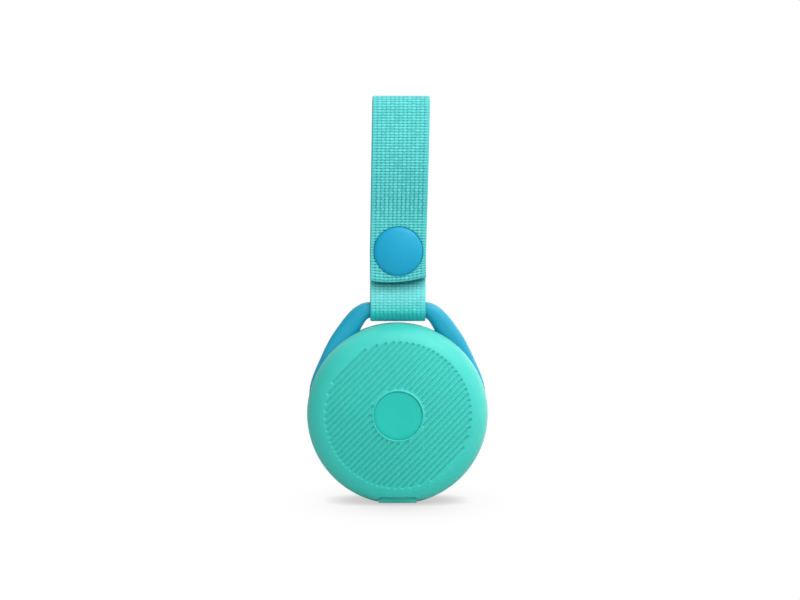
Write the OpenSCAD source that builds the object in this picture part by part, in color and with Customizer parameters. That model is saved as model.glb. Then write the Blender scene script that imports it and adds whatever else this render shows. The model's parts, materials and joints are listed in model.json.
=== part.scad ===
// Portable Bluetooth speaker with a ribbed round body, a hanging loop and a snap-on webbing strap.
// Every body part is drawn in the body's own view: x to the right, y up, z towards the listener,
// measured from the middle of the round body. upright() then stands the body on its foot.

/* [Body] */
// Diameter of the round body
body_d = 85.5; // [85:0.1:86]
// Depth of the body, front to back
body_depth = 41.8; // [41.6:0.1:42]
// Radius of the domed front face
dome_r = 140; // [138:1:144]
// Radius of the rounded edges, front and back
edge_r = 12; // [11.9:0.1:12.1]
// Thickness of the soft front cover
cover_wall = 2.2; // [2.1:0.05:2.3]
// Thickness of the rear shell's side wall
shell_wall = 2; // [1.8:0.1:2.1]
// Thickness of the rear shell's back wall
back_wall = 2.6; // [2.5:0.05:2.7]

/* [Grille] */
// Radius of the ribbed area
grille_r = 34.4; // [33.5:0.1:34.6]
// Distance from one slot to the next
slot_pitch = 2.325; // [2.2:0.025:2.5]
// Width of a slot
slot_w = 1.05; // [0.8:0.05:1.2]
// Direction of the slots, anticlockwise from horizontal
slot_angle = 45; // [30:5:60]
// Radius of the smooth disc in the middle of the face
badge_r = 11.2; // [10:0.1:11.4]

/* [Foot and loop] */
// Width of the flat foot
foot_w = 18; // [16:0.5:19]
// Depth of the flat foot, front to back
foot_depth = 21.6; // [20:0.2:22]
// Radius of the round bar that the strap hangs on
bar_r = 3.6; // [3.4:0.05:3.7]
// Height of the bar above the middle of the body
bar_y = 49; // [48.9:0.1:49.4]
// Half the thickness of the loop, front to back
band_z = 4; // [3.9:0.05:4]

/* [Strap] */
// Width of the webbing
strap_w = 26; // [24:0.5:26]
// Thickness of the webbing
strap_t = 1.5; // [1.4:0.05:1.6]
// Height of the top of the strap above the middle of the body
strap_top = 150.3; // [149:0.2:153]
// Height of the snap above the middle of the body
snap_y = 76.8; // [75:0.2:78]
// Radius of the snap's cap
cap_r = 11.5; // [10:0.25:12]

/* [Motion] */
// Travel of each key
key_travel = 0.4; // [0.3:0.05:0.4]

/* [Hidden] */
$fn = 96;

body_r = body_d / 2;
half_depth = body_depth / 2;
body_z = sqrt(pow(body_r, 2) - pow(foot_w / 2, 2)); // middle of the body above the floor
gap = 0.1;                                          // clearance between fixed neighbours
big = 200;

// Front profile: a dome that runs into a rounded edge.
edge_cr = body_r - edge_r;
dome_cz = half_depth - dome_r;
edge_cz = dome_cz + sqrt(pow(dome_r - edge_r, 2) - pow(edge_cr, 2));
dome_edge_a = asin(edge_cr / (dome_r - edge_r));
back_edge_cz = edge_r - half_depth;
rim_z = band_z + gap;

// Rings that close the body between cover and rear shell.
band_r = body_r - 0.55;
ring_r = 38.2;
wall_r = 38;
wall_inner_r = 35.8;
ledge_z = -6.1;
wall_end_z = -2.55;
baffle_z0 = 9.5;
baffle_z1 = 11;

boss_d = 17.7;  // the four bosses stand this far out, in x and in y
boss_r = 3;
boss_end_z = -8.9;
board_z0 = -11.6;
board_z1 = -10;
board_r = 33.5;
floor_z = back_wall - half_depth;
panel_r = 29.5;
panel_t = 1;

// Keys lie on each side about a line below the horizontal, three places to a side.
key_line_a = 13;
key_step = 11;
key_half_w = 4.2;
key_half_h = 2.1;
key_proud = 0.35;
board_x = 32;
switch_x = board_x + 1;
plunger_x1 = switch_x + 2.1;

port_a = -50; // direction of the charging port, in the body's view
port_z = -8.7;
hinge_a = 10; // the cover's hinge, as an angle from the port's middle
hinge_r = body_r - 0.85;

// Strap path, seen from the side: back leg, top fold, front flap.
wrap_r = bar_r + 0.4 + strap_t / 2;
snap_stack = 2.6; // space for the snap between tail and flap
flap_z = wrap_r + strap_t + snap_stack;
half_sep = (flap_z + wrap_r) / 2;
fold_r = 6.8;
shoulder_r = 110;
shoulder_a = 12;
belly_r = 170;
lean_r = 80;
lean_a = acos(1 - (fold_r * cos(shoulder_a) + shoulder_r * (1 - cos(shoulder_a)) - half_sep)
    / (belly_r + lean_r));
loop_h = (belly_r + lean_r) * sin(lean_a) + shoulder_r * sin(shoulder_a)
    + fold_r * (1 - sin(shoulder_a));
leg_y = strap_top - strap_t / 2 - loop_h;
tail_y = 88;
flap_end_y = 63.2;

TEAL = [0.22, 0.78, 0.72];
DARK_TEAL = [0.1, 0.58, 0.54];
BLUE = [0.12, 0.62, 0.82];
PLASTIC = [0.16, 0.17, 0.18];
BOARD = [0.05, 0.35, 0.2];
STEEL = [0.75, 0.76, 0.78];
COPPER = [0.8, 0.45, 0.2];

// ---------- helpers ----------

module upright() {
    translate([0, 0, body_z]) rotate([90, 0, 0]) children();
}

// One side's frame: x points out through the keys.
module side(right) {
    rotate([0, 0, right ? -key_line_a : 180 + key_line_a]) children();
}

module port_frame() {
    rotate([0, 0, port_a]) children();
}

module box(x0, x1, y0, y1, z0, z1) {
    translate([x0, y0, z0]) cube([x1 - x0, y1 - y0, z1 - z0]);
}

module ring(r0, r1, z0, z1) {
    translate([0, 0, z0]) difference() {
        cylinder(r = r1, h = z1 - z0);
        translate([0, 0, -1]) cylinder(r = r0, h = z1 - z0 + 2);
    }
}

module post(x, y, r, z0, z1) {
    translate([x, y, z0]) cylinder(r = r, h = z1 - z0);
}

module at_bosses() {
    for (x = [-boss_d, boss_d], y = [-boss_d, boss_d]) translate([x, y, 0]) children();
}

// A round rod along x.
module rod(x0, x1, r) {
    translate([x0, 0, 0]) rotate([0, 90, 0]) cylinder(r = r, h = x1 - x0);
}

// Part of a ring between two angles.
module sector(r0, r1, a0, a1, z0, z1) {
    rotate([0, 0, a0]) rotate_extrude(angle = a1 - a0) translate([r0, z0]) square([r1 - r0, z1 - z0]);
}

function arc(cx, cy, r, a0, a1, n) =
    [for (i = [0:n]) let (a = a0 + (a1 - a0) * i / n) [cx + r * cos(a), cy + r * sin(a)]];

// The front's solid form, drawn in by inset, from z0 forwards.
module front_form(inset, z0) {
    r = edge_r - inset;
    first_a = 90 - dome_edge_a - 4;
    edge = arc(edge_cr, edge_cz, r, first_a, 0, 14);
    slope = (edge[0][1] - edge[1][1]) / (edge[1][0] - edge[0][0]);
    intersection() {
        translate([0, 0, dome_cz]) sphere(r = dome_r - inset, $fn = 256);
        rotate_extrude($fn = 180) polygon(concat(
            [[0, z0], [0, edge[0][1] + slope * edge[0][0]]], edge, [[body_r - inset, z0]]));
    }
}

// The rear's solid form, drawn in by inset at the side and by lift at the back, from z1 backwards.
module rear_form(inset, lift, z1) {
    rotate_extrude($fn = 180) polygon(concat(
        [[0, z1], [body_r - inset, z1]],
        [for (p = arc(edge_cr, back_edge_cz, edge_r - inset, 0, -90, 16))
            [p[0], max(p[1], lift - half_depth)]],
        [[0, lift - half_depth]]));
}

// Everything below the flat underside of the shells, and the notch that the foot sits in.
module foot_cut() {
    box(-big, big, -big, 0.4 - body_z, -big, big);
    foot_notch();
}

module foot_notch() translate([0, -body_z, 0]) linear_extrude(height = big, center = true)
    foot_shape(0.2);

module foot_shape(grow) {
    h = 2.8 + grow;
    r = 1.8;
    w = foot_w / 2 + grow;
    difference() {
        union() {
            translate([-w, 0]) square([2 * w, h - r]);
            translate([r - w, 0]) square([2 * (w - r), h]);
            for (s = [-1, 1]) translate([s * (w - r), h - r]) circle(r = r);
        }
        translate([-w - 1, -2 * r - 1]) square([2 * w + 2, 2 * r + 1]);
    }
}

// ---------- shells ----------

module slot(x0, x1, y) {
    r = slot_w / 2;
    translate([x0 + r, y - r, 8]) cube([x1 - x0 - slot_w, slot_w, 20]);
    for (x = [x0 + r, x1 - r]) translate([x, y, 8]) cylinder(r = r, h = 20, $fn = 32);
}

module grille_slots() {
    keep_r = badge_r + 1.3;
    rows = floor((grille_r - 1.5) / slot_pitch);
    rotate([0, 0, slot_angle]) for (i = [-rows:rows]) {
        y = i * slot_pitch;
        far = sqrt(pow(grille_r, 2) - pow(y, 2));
        if (abs(y) < keep_r - 0.3) {
            near = sqrt(max(pow(keep_r, 2) - pow(y, 2), 1));
            slot(near, far, y);
            slot(-far, -near, y);
        } else {
            slot(-far, far, y);
        }
    }
}

module front_cover() color(TEAL) upright() difference() {
    front_form(0, rim_z);
    front_form(cover_wall, rim_z - 1);
    grille_slots();
    post(0, 0, badge_r + gap, half_depth - 1.6, half_depth + 1);
    foot_cut();
}

module centre_disc() color(TEAL) upright()
    post(0, 0, badge_r, half_depth - 1.55, half_depth - 0.85);

module acoustic_mesh() color(DARK_TEAL) upright() intersection() {
    difference() {
        front_form(cover_wall + 0.05, 5);
        front_form(cover_wall + 0.4, 4);
    }
    post(0, 0, 36, 0, 30);
}

module front_housing() color(PLASTIC) upright() difference() {
    union() {
        ring(wall_inner_r, wall_r, wall_end_z, baffle_z1);
        ring(wall_inner_r, 40.4, rim_z + 0.05, 5.6);
        ring(18.6, wall_inner_r + 1, baffle_z0, baffle_z1);
        intersection() {
            ring(24, 25.4, baffle_z1 - 0.5, 20);
            front_form(cover_wall + 0.5, 8);
        }
        at_bosses() post(0, 0, boss_r, boss_end_z, baffle_z0 + 0.5);
        for (right = [true, false]) side(right)
            box(board_x - 1.4, board_x - 0.05, -key_step, key_step, wall_end_z, baffle_z0 + 0.5);
    }
    at_bosses() post(0, 0, 1.15, boss_end_z - 1, 3);
    for (a = [0:90:270]) rotate([0, 0, a]) post(20.1, 0, 0.9, 0, 20);
    for (right = [true, false]) side(right)
        box(board_x + 1, 50, -16.5, 16.5, -3.2, 3.2);
    foot_notch();
}

// The loop's outline: two long legs, two shoulders and a level top.
leg_c = [-30.9, -2.27];
leg_r = 73.2;
shoulder_c = [-10.67, 13.1];
shoulder_arc_r = 47.8;
corner_c = [11.05, 39];
corner_r = 14;
arm_x = strap_w / 2 + 0.5;

function right_half_outline() = concat(
    arc(leg_c[0], leg_c[1], leg_r, 8, 37.2, 14),
    arc(shoulder_c[0], shoulder_c[1], shoulder_arc_r, 38.5, 49, 5),
    arc(corner_c[0], corner_c[1], corner_r, 52, 90, 8));

module arch_shape() {
    half = right_half_outline();
    difference() {
        polygon(concat(
            [[-41.45, -1.4], [41.45, -1.4]],
            half,
            [for (i = [len(half) - 1:-1:0]) [-half[i][0], half[i][1]]]));
        circle(r = ring_r + 1);
        difference() {
            polygon([[-arm_x, bar_y - 4.1], [arm_x, bar_y - 4.1], [17.9, 38.8], [18.6, 35],
                [-18.6, 35], [-17.9, 38.8]]);
            circle(r = band_r);
        }
        difference() {
            translate([-arm_x, 36]) square([2 * arm_x, 20]);
            circle(r = band_r);
        }
    }
}

module loop_frame() color(BLUE) upright() difference() {
    union() {
        ring(ring_r, band_r, -band_z, band_z);
        translate([0, 0, -band_z]) linear_extrude(height = 2 * band_z) arch_shape();
        translate([0, bar_y, 0]) rod(-arm_x - 1, arm_x + 1, bar_r);
    }
    for (right = [true, false]) side(right) box(30, 50, -16.4, 16.4, -3.05, 3.05);
    foot_cut();
}

module rear_shell() color(TEAL) upright() difference() {
    union() {
        difference() {
            rear_form(0, 0, -rim_z);
            rear_form(shell_wall, back_wall, 0);
        }
        intersection() {
            ring(wall_inner_r, body_r - 1, ledge_z, -rim_z);
            rear_form(0.5, 0, -rim_z);
        }
        at_bosses() post(0, 0, boss_r + 0.2, floor_z - 0.5, boss_end_z - 0.05);
        for (x = [-28, 28]) post(x, 0, 2.2, floor_z - 0.5, board_z0);
    }
    post(0, 0, panel_r + gap, -half_depth - 1, panel_t + 0.05 - half_depth);
    at_bosses() {
        post(0, 0, 1.3, -30, 0);
        post(0, 0, 2.7, -30, -17.4);
    }
    for (x = [-28, 28]) post(x, 0, 0.95, floor_z + 1, 0);
    port_frame() {
        box(36, 50, -4.9, 4.9, port_z - 2.4, port_z + 2.4);
        sector(hinge_r - 0.5, 50, -9.8, 14.5, port_z - 3.6, port_z + 3.6);
        rotate([0, 0, 13]) translate([0, 0, port_z]) rod(36, 50, 0.8);
    }
    foot_cut();
}

module rear_panel() color(TEAL) upright()
    post(0, 0, panel_r, -half_depth, panel_t - half_depth);

module shell_seal() color(PLASTIC) upright()
    ring(wall_inner_r + 0.3, wall_r - 0.3, -rim_z, wall_end_z);

module shell_screws() color(STEEL) upright() at_bosses() {
    post(0, 0, 2.4, -19.2, -17.45);
    post(0, 0, 1.05, -18, -2);
}

module base_foot() color(DARK_TEAL) upright() intersection() {
    translate([0, -body_z, 0]) linear_extrude(height = foot_depth, center = true) foot_shape(0);
    union() {
        front_form(0.6, -1);
        rear_form(0.6, 0.6, 1);
        box(-30, 30, -body_z, 1 - body_z, -foot_depth / 2, foot_depth / 2);
    }
}

// ---------- charging port ----------

module port_cover() color(DARK_TEAL) upright() port_frame() {
    intersection() {
        sector(hinge_r - 0.4, body_r + 1, -9.5, 9.35, port_z - 3.4, port_z + 3.4);
        rear_form(0.05, 0, 0);
    }
    box(39.6, hinge_r - 0.2, -3.4, 3, port_z - 1.8, port_z + 1.8);
}

module port_cover_tether() color(DARK_TEAL) upright() port_frame() {
    sector(hinge_r - 0.4, hinge_r - 0.05, 9.45, 11.8, port_z - 2.6, port_z + 2.6);
    intersection() {
        sector(hinge_r - 0.4, body_r + 1, 11.7, 14.3, port_z - 3.3, port_z + 3.3);
        rear_form(0.05, 0, 0);
    }
    rotate([0, 0, 13]) translate([0, 0, port_z]) rod(39.8, hinge_r, 0.75);
}

// ---------- keys ----------

// The window one key moves in, drawn about its own line.
module key_block(y, half_w, half_h, r0, r1) intersection() {
    ring(r0, r1, -half_h, half_h);
    box(r0 - 8, r1 + 2, y - half_w, y + half_w, -half_h, half_h);
}

module key(right, y) color(BLUE) upright() side(right) {
    key_block(y, key_half_w, key_half_h, 37.4, band_r + key_proud);
    key_block(y, key_half_w + 0.7, key_half_h + 0.35, 37.4, ring_r - 0.05);
    translate([0, y, 0]) rod(plunger_x1 + 0.02, 38, 1.2);
}

module plunger(right, y) color(PLASTIC) upright() side(right)
    translate([0, y, 0]) rod(plunger_x1 - 1.2, plunger_x1, 1);

module key_frame(right, places) color(BLUE) upright() side(right) difference() {
    intersection() {
        ring(ring_r + 0.05, band_r - 0.1, -2.95, 2.95);
        box(30, 50, -16.3, 16.3, -2.95, 2.95);
    }
    for (y = places) box(30, 50, y - key_half_w - 0.2, y + key_half_w + 0.2,
        -key_half_h - 0.2, key_half_h + 0.2);
    if (!right) rod(30, 50, 1.25);
}

module key_frame_right() key_frame(true, [-key_step, 0, key_step]);
module key_frame_left() key_frame(false, [-key_step, key_step]);
module key_volume_up() key(true, key_step);
module key_play() key(true, 0);
module key_volume_down() key(true, -key_step);
module key_power() key(false, -key_step);
module key_pairing() key(false, key_step);
module plunger_volume_up() plunger(true, key_step);
module plunger_play() plunger(true, 0);
module plunger_volume_down() plunger(true, -key_step);
module plunger_power() plunger(false, -key_step);
module plunger_pairing() plunger(false, key_step);

module status_light_pipe() color([0.9, 0.95, 1]) upright() side(false)
    rod(switch_x + 1.4, band_r, 1.2);

module status_led() color([0.95, 0.95, 0.9]) upright() side(false)
    box(switch_x, switch_x + 1.2, -1.2, 1.2, -1.2, 1.2);

module switch_board(right) color(BOARD) upright() side(right)
    box(board_x, switch_x, -13.4, 13.4, -3.4, 3.1);

module switches(right, places) color(PLASTIC) upright() side(right) for (y = places)
    difference() {
        box(switch_x, switch_x + 1.5, y - 2.2, y + 2.2, -2.2, 2.2);
        translate([0, y, 0]) rod(switch_x + 0.4, switch_x + 2, 1.05);
    }

module switch_board_right() switch_board(true);
module switch_board_left() switch_board(false);
module switches_right() switches(true, [-key_step, 0, key_step]);
module switches_left() switches(false, [-key_step, key_step]);

module ribbon_cables() color([0.85, 0.55, 0.2]) upright() for (right = [true, false]) side(right)
    box(board_x - 0.35, board_x - 0.05, -4, 4, board_z1, wall_end_z - 0.05);

// ---------- loudspeaker driver ----------

flange_z0 = baffle_z1 + 0.5;
flange_z1 = flange_z0 + 1;

module driver_gasket() color(PLASTIC) upright() difference() {
    ring(18.8, 21.4, baffle_z1, flange_z0);
    for (a = [0:90:270]) rotate([0, 0, a]) post(20.1, 0, 0.95, 0, 20);
}

module driver_basket() color(STEEL) upright() difference() {
    rotate_extrude() polygon([
        [21.4, flange_z1], [21.4, flange_z0], [18.4, flange_z0], [18.4, 8], [13.2, 1.9], [13.2, 1],
        [8.3, 1], [8.3, 2], [12.6, 2], [17.6, 7.9], [17.6, flange_z1]]);
    for (a = [45:90:315]) rotate([0, 0, a]) box(11, 20, -4.5, 4.5, 3, 7.6);
    for (a = [0:90:270]) rotate([0, 0, a]) post(20.1, 0, 0.95, 0, 20);
}

module driver_screws() color(STEEL) upright() for (a = [0:90:270]) rotate([0, 0, a]) {
    post(20.1, 0, 0.85, 7.5, flange_z1 + 0.5);
    post(20.1, 0, 1.3, flange_z1, flange_z1 + 0.9);
}

module driver_surround() color([0.1, 0.1, 0.1]) upright() rotate_extrude() polygon(concat(
    [[18.75, flange_z1], [18.75, flange_z1 + 0.4]],
    arc(17.1, flange_z1 + 0.1, 1.5, 0, 180, 14),
    [[15.6, flange_z1 - 0.4]],
    [[16, flange_z1 - 0.4]],
    arc(17.1, flange_z1 + 0.1, 1.1, 180, 0, 12),
    [[18.2, flange_z1]]));

module driver_cone() color([0.2, 0.2, 0.22]) upright() rotate_extrude() polygon([
    [7.1, 6.2], [7.6, 6.2], [15.5, 11.9], [15.5, 12.5], [7.1, 6.9]]);

module driver_dust_cap() color([0.15, 0.15, 0.16]) upright() rotate_extrude() polygon(concat(
    arc(0, -1.5, 12.65, 48, 90, 8),
    arc(0, -1.5, 12.2, 90, 50, 8)));

module driver_voice_coil() color(COPPER) upright() {
    ring(6.85, 7.05, -3, 7.2);
    ring(7.05, 7.5, -2.4, 1.2);
}

module driver_spider() color([0.75, 0.6, 0.3]) upright() rotate_extrude() polygon(concat(
    [for (i = [0:28]) [7.7 + 6.8 * i / 28, 4.7 + 0.4 * cos(i * 360 / 7)]],
    [for (i = [28:-1:0]) [7.7 + 6.8 * i / 28, 4.4 + 0.4 * cos(i * 360 / 7)]]));

module driver_top_plate() color(STEEL) upright() post(0, 0, 6.5, -1.2, 0.8);
module driver_magnet() color([0.6, 0.6, 0.62]) upright() post(0, 0, 6.2, -6.4, -1.2);
module driver_yoke() color(STEEL) upright() {
    ring(8, 10.5, -6.5, 1);
    post(0, 0, 10.5, -8.4, -6.4);
}

// ---------- electronics ----------

module main_board() color(BOARD) upright() difference() {
    post(0, 0, board_r, board_z0, board_z1);
    at_bosses() post(0, 0, boss_r + 0.5, -20, 0);
    for (x = [-28, 28]) post(x, 0, 1.1, -20, 0);
}

module board_screws() color(STEEL) upright() for (x = [-28, 28]) {
    post(x, 0, 1.9, board_z1, board_z1 + 1);
    post(x, 0, 0.9, -16.5, board_z1 + 0.5);
}

module radio_shield() color(STEEL) upright() box(-26, -13.5, 3, 14, board_z1, board_z1 + 2);

module board_chips() color(PLASTIC) upright() {
    box(-6, 2, 15, 23, board_z1, board_z1 + 1);
    box(6, 11, 17, 22, board_z1, board_z1 + 0.9);
    box(-8, -3, -22, -17, board_z1, board_z1 + 1);
    box(13, 17, 3, 9, board_z1, board_z1 + 0.9);
    box(-3, 3, -30, -26, board_z1, board_z1 + 0.8);
}

module board_capacitors() color([0.55, 0.5, 0.4]) upright() {
    for (p = [[2, -19], [7, -21], [13, -10], [-14, -10], [-2, 27.5]])
        post(p[0], p[1], 1.9, board_z1, board_z1 + 2.6);
}

// Metal shell and contact tongue of the charging socket, on the board's edge.
module usb_port() color(STEEL) upright() port_frame() {
    difference() {
        box(32, 39, -3.75, 3.75, board_z1, board_z1 + 2.6);
        box(34, 40, -3.4, 3.4, board_z1 + 0.35, board_z1 + 2.25);
    }
    box(33, 38, -2.6, 2.6, board_z1 + 1, board_z1 + 1.5);
}

module battery_connector() color([0.95, 0.94, 0.88]) upright()
    box(25.5, 30, 3.2, 8.2, board_z0 - 3, board_z0);

module battery_cell() color([0.8, 0.82, 0.85]) upright() {
    box(-22.5, 22.5, -13.5, 13.5, -17.9, -13.5);
}

module battery_pad() color(PLASTIC) upright()
    box(-20, 20, -11, 11, floor_z, -17.9);

module battery_board() color(BOARD) upright() box(22.6, 25, -7, 7, -16.9, -15.9);

// Two flat cores, each a bent strip from the cell's board to the connector.
module battery_leads() color([0.8, 0.1, 0.1]) upright() for (y = [4.8, 5.9])
    translate([0, y + 0.8, 0]) rotate([90, 0, 0]) linear_extrude(height = 0.8) polygon([
        [23.4, -15.85], [23.4, -15.1], [25.4, -15.1], [26.2, -14.7], [28.6, -14.7],
        [28.6, -15.45], [26.4, -15.45], [25.6, -15.85]]);

// ---------- strap ----------

// A place on the strap's path: [z, y, heading], with the heading measured from straight up towards the front.
function go(s, len_mm, turn, f) = abs(turn) < 0.001
    ? [s[0] + len_mm * f * sin(s[2]), s[1] + len_mm * f * cos(s[2]), s[2]]
    : let (r = len_mm * 180 / (PI * turn))
        [s[0] + r * (cos(s[2]) - cos(s[2] + turn * f)),
         s[1] + r * (sin(s[2] + turn * f) - sin(s[2])), s[2] + turn * f];

// Follows straight runs and bends, each [radius or length, turn, points].
function walk(runs, s, i = 0) = i == len(runs) ? [s] :
    let (turn = runs[i][1], len_mm = turn == 0 ? runs[i][0] : runs[i][0] * abs(turn) * PI / 180)
    concat([for (k = [0:runs[i][2] - 1]) go(s, len_mm, turn, k / runs[i][2])],
        walk(runs, go(s, len_mm, turn, 1), i + 1));

module webbing(path) rotate([0, 90, 0]) linear_extrude(height = strap_w, center = true)
    polygon(concat(
        [for (p = path) [-p[0] - strap_t / 2 * cos(p[2]), p[1] - strap_t / 2 * sin(p[2])]],
        [for (i = [len(path) - 1:-1:0]) let (p = path[i])
            [-p[0] + strap_t / 2 * cos(p[2]), p[1] + strap_t / 2 * sin(p[2])]]));

function back_path() = walk([
    [tail_y - bar_y, 0, 1],
    [wrap_r, 180, 16],
    [leg_y - bar_y, 0, 1],
    [lean_r, -lean_a, 3],
    [belly_r, lean_a, 3],
    [shoulder_r, shoulder_a, 4],
    [fold_r, 90 - shoulder_a, 10],
], [wrap_r, tail_y, 180]);

function flap_path() = walk([
    [fold_r, 90 - shoulder_a, 10],
    [shoulder_r, shoulder_a, 4],
    [belly_r, lean_a, 3],
    [lean_r, -lean_a, 3],
    [leg_y - flap_end_y, 0, 1],
], [flap_z - half_sep, strap_top - strap_t / 2, 90]);

// The strap is drawn with its side view in the body's yz plane.
module strap_holes(z0, z1, r) post(0, snap_y, r, z0, z1);

module strap_back() color(TEAL) upright() difference() {
    webbing(back_path());
    strap_holes(0, wrap_r + 3, 1.6);
}

module strap_flap() color(TEAL) upright() difference() {
    webbing(flap_path());
    strap_holes(flap_z - 3, flap_z + 3, 1.9);
}

tail_front = wrap_r + strap_t / 2;
flap_back = flap_z - strap_t / 2;
flap_front = flap_z + strap_t / 2;

module snap_cap() color(BLUE) upright() translate([0, snap_y, 0]) {
    rotate_extrude() polygon(concat(
        [[0, flap_front + 1.6], [0, flap_front + 2.7]],
        [for (a = [3:3:15]) [35 * sin(a), flap_front + 2.7 - 35 * (1 - cos(a))]],
        [[11.1, flap_front + 0.9], [cap_r, flap_front + 0.4], [cap_r - 0.2, flap_front],
         [9.6, flap_front], [9.4, flap_front + 0.6], [6, flap_front + 1.4]]));
    post(0, 0, 1.7, flap_back, flap_front + 2);
}

module snap_socket() color(BLUE) upright() translate([0, snap_y, 0]) rotate_extrude() polygon([
    [2.6, flap_back], [6.2, flap_back], [6.4, flap_back - 0.6], [6, flap_back - 1.9],
    [2.6, flap_back - 1.9], [2.6, flap_back - 1.4], [3.2, flap_back - 1.4],
    [3.2, flap_back - 0.8], [2.6, flap_back - 0.8]]);

module snap_spring() color(STEEL) upright() translate([0, snap_y, flap_back - 1.1])
    rotate([0, 0, 20]) rotate_extrude(angle = 320) translate([2.9, 0]) circle(r = 0.2, $fn = 24);

module snap_stud() color(BLUE) upright() translate([0, snap_y, 0]) rotate_extrude() polygon([
    [1.6, tail_front], [6, tail_front], [5.8, tail_front + 0.6], [2.1, tail_front + 0.6],
    [2.05, tail_front + 1], [2.3, tail_front + 1.5], [2, tail_front + 2.2],
    [0, tail_front + 2.4], [0, tail_front + 1.6], [1.6, tail_front + 1.6]]);

module snap_post() color(BLUE) upright() translate([0, snap_y, 0]) {
    post(0, 0, 6, tail_front - strap_t - 0.9, tail_front - strap_t);
    post(0, 0, 1.5, tail_front - strap_t - 0.5, tail_front + 1.5);
}

// ---------- nodes ----------

front_cover();
centre_disc();
acoustic_mesh();
front_housing();
loop_frame();
rear_shell();
rear_panel();
shell_seal();
shell_screws();
base_foot();
port_cover();
port_cover_tether();
key_frame_right();
key_frame_left();
key_volume_up();
key_play();
key_volume_down();
key_power();
key_pairing();
plunger_volume_up();
plunger_play();
plunger_volume_down();
plunger_power();
plunger_pairing();
status_light_pipe();
status_led();
switch_board_right();
switch_board_left();
switches_right();
switches_left();
ribbon_cables();
driver_gasket();
driver_basket();
driver_screws();
driver_surround();
driver_cone();
driver_dust_cap();
driver_voice_coil();
driver_spider();
driver_top_plate();
driver_magnet();
driver_yoke();
main_board();
board_screws();
radio_shield();
board_chips();
board_capacitors();
usb_port();
battery_connector();
battery_cell();
battery_pad();
battery_board();
battery_leads();
strap_back();
strap_flap();
snap_cap();
snap_socket();
snap_spring();
snap_stud();
snap_post();
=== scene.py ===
"""Looks for the round clip-on speaker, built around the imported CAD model.

Body parts are worked out in the body's own view, in millimetres: x to the right, y up from the
middle of the round body, z out of the front face. row() turns those into the row frame, in metres.
"""

import json
import math

import bmesh
import bpy
import numpy as np
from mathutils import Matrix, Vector


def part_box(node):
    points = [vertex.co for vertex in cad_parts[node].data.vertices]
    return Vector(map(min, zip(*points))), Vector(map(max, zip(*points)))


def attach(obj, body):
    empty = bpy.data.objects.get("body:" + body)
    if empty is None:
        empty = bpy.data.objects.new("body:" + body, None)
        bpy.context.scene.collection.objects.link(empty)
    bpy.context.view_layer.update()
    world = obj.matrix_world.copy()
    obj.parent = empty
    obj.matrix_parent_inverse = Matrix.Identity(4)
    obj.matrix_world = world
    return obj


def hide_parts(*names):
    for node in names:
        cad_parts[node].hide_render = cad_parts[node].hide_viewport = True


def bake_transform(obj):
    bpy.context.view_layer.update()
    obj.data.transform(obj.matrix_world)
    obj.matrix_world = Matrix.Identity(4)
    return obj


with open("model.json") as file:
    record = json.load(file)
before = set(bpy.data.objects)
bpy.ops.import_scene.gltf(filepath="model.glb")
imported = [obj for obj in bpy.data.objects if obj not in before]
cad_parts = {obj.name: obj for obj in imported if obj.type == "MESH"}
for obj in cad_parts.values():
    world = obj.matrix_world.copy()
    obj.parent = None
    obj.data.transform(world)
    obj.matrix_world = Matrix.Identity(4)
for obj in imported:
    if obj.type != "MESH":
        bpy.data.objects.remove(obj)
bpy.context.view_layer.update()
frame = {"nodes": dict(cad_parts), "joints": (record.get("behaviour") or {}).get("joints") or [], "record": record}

MM = 0.001
COVER_LO, COVER_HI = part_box("front_cover")
BODY_R = (COVER_HI[0] - COVER_LO[0]) / 2 / MM
BODY_Z = COVER_HI[2] / MM - BODY_R
HALF_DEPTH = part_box("rear_panel")[1][1] / MM
JOINTS = {j["name"]: j for j in frame["joints"]}

# The same profile as the CAD: a dome that runs into a rounded edge.
DOME_R = 140.0
EDGE_R = 12.0
EDGE_CR = BODY_R - EDGE_R
DOME_CZ = HALF_DEPTH - DOME_R
EDGE_CZ = DOME_CZ + math.sqrt((DOME_R - EDGE_R) ** 2 - EDGE_CR**2)
DOME_END_R = EDGE_CR * DOME_R / (DOME_R - EDGE_R)
RIM_Z = 4.1  # where both shells stop, at the blue band
BAND_R, RING_R = BODY_R - 0.55, 38.2  # the band's outside and inside
BAND_HALF = 4.0  # half its depth
FRONT_WALL, REAR_WALL = 2.2, 2.0
REAR_INSIDE_R = 40.75

GRILLE_R = 34.4
SLOT_PITCH = 2.325
SLOT_HALF = 0.525
SLOT_DEPTH = 0.65
SLOT_FLOOR, SLOT_BRINK = 0.26, 0.8  # from a slot's middle to its floor's edge, and to its rib
BADGE_R = 11.2
BADGE_SINK = 1.6
BADGE_KEEP = 1.3  # how far the slots stay off the badge
# A raised bead round the badge, as distances out from its wall and up from the dome.
BADGE_BEAD = [(0.06, 0.06), (0.2, 0.25), (0.42, 0.31), (0.64, 0.24), (0.84, 0.05)]
BEAD_END_R = 12.36
COVER_SEGMENTS, SHELL_SEGMENTS, PANEL_SEGMENTS = 720, 420, 240
DISC_SEGMENTS, CAP_SEGMENTS = 200, 180

FOOT_W, FOOT_H, FOOT_CORNER = 9.0, 2.8, 1.8
FOOT_GAP = 0.2
FLOOR_GAP = 0.4  # how far all but the foot stay off the floor
FAR = 30.0  # past both faces of the body


# ---------- mesh helpers ----------


def row(points):
    """Points in the body's view, in mm, as points in the row frame, in metres."""
    p = np.asarray(points, float).reshape(-1, 3)
    return np.column_stack([p[:, 0], -p[:, 2], p[:, 1] + BODY_Z]) * MM


def linked(name, data):
    """A new object in the scene."""
    obj = bpy.data.objects.new(name, data)
    bpy.context.scene.collection.objects.link(obj)
    return obj


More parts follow.
